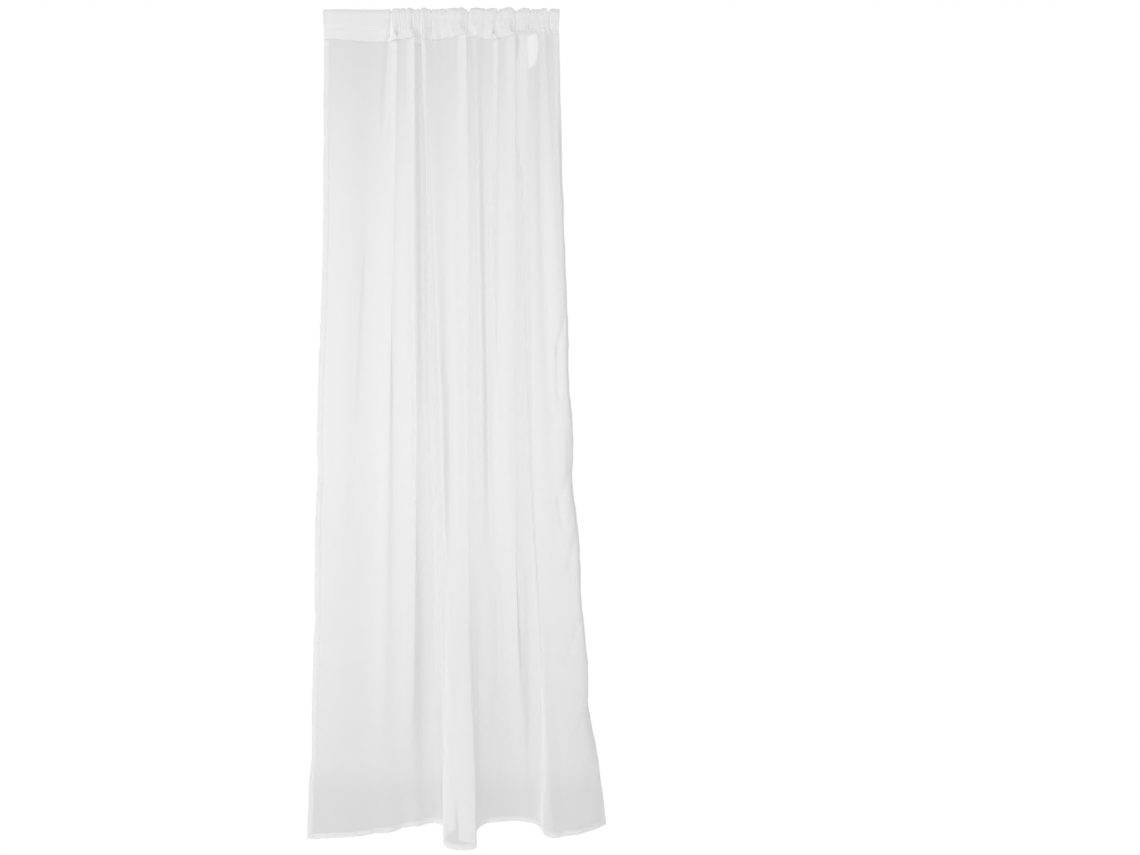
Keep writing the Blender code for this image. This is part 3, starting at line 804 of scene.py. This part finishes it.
thread = bpy.data.materials.new("white thread")
thread.use_nodes = True
thread_shader = thread.node_tree.nodes["Principled BSDF"]
thread_shader.inputs["Base Color"].default_value = (0.92, 0.92, 0.92, 1.0)
thread_shader.inputs["Roughness"].default_value = 0.7
ROWS = (
    ("seam_stitches", ROW_END, WIDE - ROW_END, seam_spot, SEAM_LIFTS),
    ("foot_stitches", HEM_WIDTH, WIDE - HEM_WIDTH, foot_spot, HEM_LIFTS),
    ("left_hem_stitches", ROW_END, SIDE_LONG, side_spot(HEM_WIDTH - FROM_FOLD), HEM_LIFTS),
    ("right_hem_stitches", ROW_END, SIDE_LONG, side_spot(WIDE - HEM_WIDTH + FROM_FOLD), HEM_LIFTS),
)
stitches = []
for name, begin, finish, spot, lifts in ROWS:
    faces = [row_of_stitches(begin, finish, spot, face, lift) for face, lift in lifts]
    stitches.append(stitch_mesh(name, *(np.concatenate(part) for part in zip(*faces))))
for piece in stitches:
    piece.data.materials.append(thread)
    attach(piece, "root")

# The floor under the curtain, the plain light and the camera. Seen past the cloth all is
# white; seen through the cloth the room is grey, with a darker floor, as the cloth shows it,
# and these greys carry painted shade, darker toward the top and the foot.

FLOOR_LEVEL = -2.14
FLOOR_BACK = 2.6
FLOOR_FRONT = -2.6
FLOOR_SIDE = 3
# The room as the cloth shows it, its greys partly painted shade: the wall darker toward the
# top and the foot, the floor darker near the curtain, for how the light falls off on the
# cloth. Rise of the line of sight and grey of the wall, then distance back and grey of the floor
WALL_GREY_WITH_PAINTED_SHADE = ((-0.23, 0.76), (-0.15, 0.79), (-0.03, 0.83), (0.15, 0.82), (0.26, 0.79),
             (0.35, 0.71), (0.42, 0.60))
FLOOR_GREY_WITH_PAINTED_SHADE = ((0.30, 0.52), (0.54, 0.55), (0.72, 0.65), (1.16, 0.69), (2.15, 0.75))
floor_mesh = bpy.data.meshes.new("floor")
corners = ((-FLOOR_SIDE, FLOOR_FRONT), (FLOOR_SIDE, FLOOR_FRONT),
           (FLOOR_SIDE, FLOOR_BACK), (-FLOOR_SIDE, FLOOR_BACK))
floor_mesh.from_pydata([(x, y, FLOOR_LEVEL) for x, y in corners], [], [(0, 1, 2, 3)])
floor = bpy.data.objects.new("floor", floor_mesh)
bpy.context.scene.collection.objects.link(floor)


def through_cloth(nodes, links):
    """Two switches: 1 where a camera ray came through cloth, and 1 where any camera ray lands."""
    ray = nodes.new("ShaderNodeLightPath")
    behind = maths(nodes, links, "GREATER_THAN", ray.outputs["Transparent Depth"], 0.5)
    both = maths(nodes, links, "MULTIPLY", behind, ray.outputs["Is Camera Ray"])
    return both, ray.outputs["Is Camera Ray"]


def grey_scale(nodes, links, value, table):
    """A grey that follows a table of values and greys, straight between its rows."""
    low, high = table[0][0], table[-1][0]
    part = nodes.new("ShaderNodeMapRange")
    part.inputs["From Min"].default_value = low
    part.inputs["From Max"].default_value = high
    links.new(value, part.inputs["Value"])
    scale = nodes.new("ShaderNodeValToRGB")
    stops = scale.color_ramp.elements
    while len(stops) < len(table):
        stops.new(0.5)
    for stop, (at, grey) in zip(stops, table):
        stop.position = (at - low) / (high - low)
        stop.color = (grey, grey, grey, 1)
    links.new(part.outputs["Result"], scale.inputs[0])
    return scale.outputs["Color"]


floor_look = bpy.data.materials.new("pale floor")
floor_look.use_nodes = True
nodes, links = floor_look.node_tree.nodes, floor_look.node_tree.links
pale = nodes["Principled BSDF"]
pale.inputs["Base Color"].default_value = (0.93, 0.93, 0.93, 1.0)
pale.inputs["Roughness"].default_value = 0.9
# Painted light: the floor glows at 0.32, standing in for light bounced up off a brightly lit floor onto
# the cloth
pale.inputs["Emission Color"].default_value = (1, 1, 1, 1)
pale.inputs["Emission Strength"].default_value = 0.32
seen_floor = nodes.new("ShaderNodeEmission")
place = nodes.new("ShaderNodeTexCoord")
split = nodes.new("ShaderNodeSeparateXYZ")
links.new(place.outputs["Object"], split.inputs[0])
# The floor seen through the cloth: a grey with painted shade, darker near the curtain
links.new(grey_scale(nodes, links, split.outputs["Y"], FLOOR_GREY_WITH_PAINTED_SHADE), seen_floor.inputs["Color"])
through, seen_by_camera = through_cloth(nodes, links)
white_floor = nodes.new("ShaderNodeEmission")
plain_view = nodes.new("ShaderNodeMixShader")
links.new(seen_by_camera, plain_view.inputs[0])
links.new(pale.outputs[0], plain_view.inputs[1])
links.new(white_floor.outputs[0], plain_view.inputs[2])
choose = nodes.new("ShaderNodeMixShader")
links.new(through, choose.inputs[0])
links.new(plain_view.outputs[0], choose.inputs[1])
links.new(seen_floor.outputs[0], choose.inputs[2])
links.new(choose.outputs[0], nodes["Material Output"].inputs["Surface"])
floor_mesh.materials.append(floor_look)

AMBIENT = 0.80
# Light from all round by the height it comes from: little from overhead
SHARES = ((-1.0, 1.0), (0.35, 1.0), (0.75, 0.4), (1.0, 0.25))
AROUND = tuple((height, AMBIENT * share) for height, share in SHARES)
world = bpy.data.worlds.new("room")
bpy.context.scene.world = world
world.use_nodes = True
nodes, links = world.node_tree.nodes, world.node_tree.links
sky = nodes["Background"]
through, seen_by_camera = through_cloth(nodes, links)
seen = nodes.new("ShaderNodeMix")
seen.data_type = "RGBA"
seen.inputs["A"].default_value = (1, 1, 1, 1)
sight = nodes.new("ShaderNodeTexCoord")
sight_parts = nodes.new("ShaderNodeSeparateXYZ")
links.new(sight.outputs["Generated"], sight_parts.inputs[0])
# The wall seen through the cloth: a grey with painted shade, darker toward the top and the foot
links.new(grey_scale(nodes, links, sight_parts.outputs["Z"], WALL_GREY_WITH_PAINTED_SHADE), seen.inputs["B"])
links.new(through, seen.inputs["Factor"])
light_or_seen = nodes.new("ShaderNodeMix")
light_or_seen.data_type = "RGBA"
links.new(grey_scale(nodes, links, sight_parts.outputs["Z"], AROUND), light_or_seen.inputs["A"])
links.new(seen.outputs["Result"], light_or_seen.inputs["B"])
links.new(seen_by_camera, light_or_seen.inputs["Factor"])
links.new(light_or_seen.outputs["Result"], sky.inputs["Color"])

# name, place, aim, side, power, casts shadows
LAMPS = (
    ("left softbox", (-2.6, -2.7, -1.1), (0.0, 0.0, -1.0), 1.4, 16.0, False),
    ("key softbox", (-2.6, -2.7, -1.0), (0.0, 0.0, -1.0), 1.0, 8.0, True),
    ("front softbox", (-0.3, -2.3, -0.75), (0.0, 0.0, -0.95), 1.5, 2.0, False),
)
for name, place, aim, size, power, casts in LAMPS:
    lamp = bpy.data.lights.new(name, "AREA")
    lamp.size = size
    lamp.energy = power
    lamp.use_shadow = casts
    holder = bpy.data.objects.new(name, lamp)
    bpy.context.scene.collection.objects.link(holder)
    holder.location = place
    run_x, run_y, run_z = (aim[k] - place[k] for k in range(3))
    level = math.hypot(run_x, run_y)
    holder.rotation_euler = (math.pi / 2 + math.atan2(run_z, level), 0, math.atan2(-run_x, run_y))

camera = bpy.data.cameras.new("camera")
camera.lens = 25.96
camera.sensor_width = 36
camera.shift_x = 0.1
viewpoint = bpy.data.objects.new("camera", camera)
bpy.context.scene.collection.objects.link(viewpoint)
viewpoint.location = (0.0353, -2.0, -1.0158)
viewpoint.rotation_euler = (math.pi / 2, 0, 0)
bpy.context.scene.camera = viewpoint
bpy.context.scene.view_settings.view_transform = "Standard"
